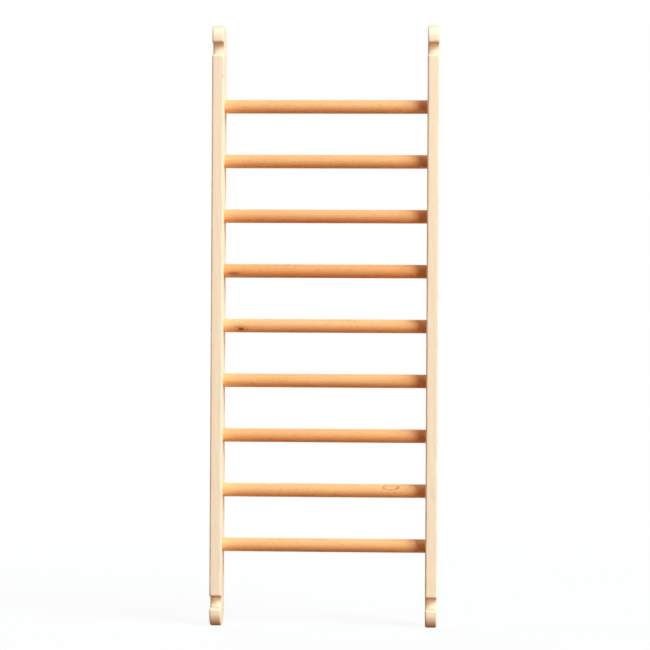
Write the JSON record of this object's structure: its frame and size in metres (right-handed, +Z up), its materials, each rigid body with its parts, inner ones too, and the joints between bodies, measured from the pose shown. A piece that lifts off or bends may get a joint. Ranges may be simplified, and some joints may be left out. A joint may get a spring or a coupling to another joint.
{
  "type": "climbing ladder",
  "caption": "Wooden climbing ladder: two upright rails joined by round rungs, with a slotted hook at each rail end that hangs on or grips a round bar.",
  "frame": {"origin": "on the ground, midway between the rails and midway through their depth", "axes": "+Z up along the rails, +X along the rungs to the right rail, -Y towards the side on which the hook slots open"},
  "size_m": [0.528, 0.095, 1.4],
  "materials": {
    "rail_wood": "pale wood, clear satin lacquer",
    "rung_wood": "orange-brown wood, clear satin lacquer",
    "plug_wood": "pale wood, sanded flush and lacquered",
    "screw_steel": "bright zinc"
  },
  "bodies": {
    "root": {"left_rail": "rail_wood", "right_rail": "rail_wood", "rung_1": "rung_wood", "rung_2": "rung_wood", "rung_3": "rung_wood", "rung_4": "rung_wood", "rung_5": "rung_wood", "rung_6": "rung_wood", "rung_7": "rung_wood", "rung_8": "rung_wood", "rung_9": "rung_wood", "left_screw_1": "screw_steel", "left_screw_2": "screw_steel", "left_screw_3": "screw_steel", "left_screw_4": "screw_steel", "left_screw_5": "screw_steel", "left_screw_6": "screw_steel", "left_screw_7": "screw_steel", "left_screw_8": "screw_steel", "left_screw_9": "screw_steel", "right_screw_1": "screw_steel", "right_screw_2": "screw_steel", "right_screw_3": "screw_steel", "right_screw_4": "screw_steel", "right_screw_5": "screw_steel", "right_screw_6": "screw_steel", "right_screw_7": "screw_steel", "right_screw_8": "screw_steel", "right_screw_9": "screw_steel", "left_plug_1": "plug_wood", "left_plug_2": "plug_wood", "left_plug_3": "plug_wood", "left_plug_4": "plug_wood", "left_plug_5": "plug_wood", "left_plug_6": "plug_wood", "left_plug_7": "plug_wood", "left_plug_8": "plug_wood", "left_plug_9": "plug_wood", "right_plug_1": "plug_wood", "right_plug_2": "plug_wood", "right_plug_3": "plug_wood", "right_plug_4": "plug_wood", "right_plug_5": "plug_wood", "right_plug_6": "plug_wood", "right_plug_7": "plug_wood", "right_plug_8": "plug_wood", "right_plug_9": "plug_wood"}
  },
  "joints": []
}
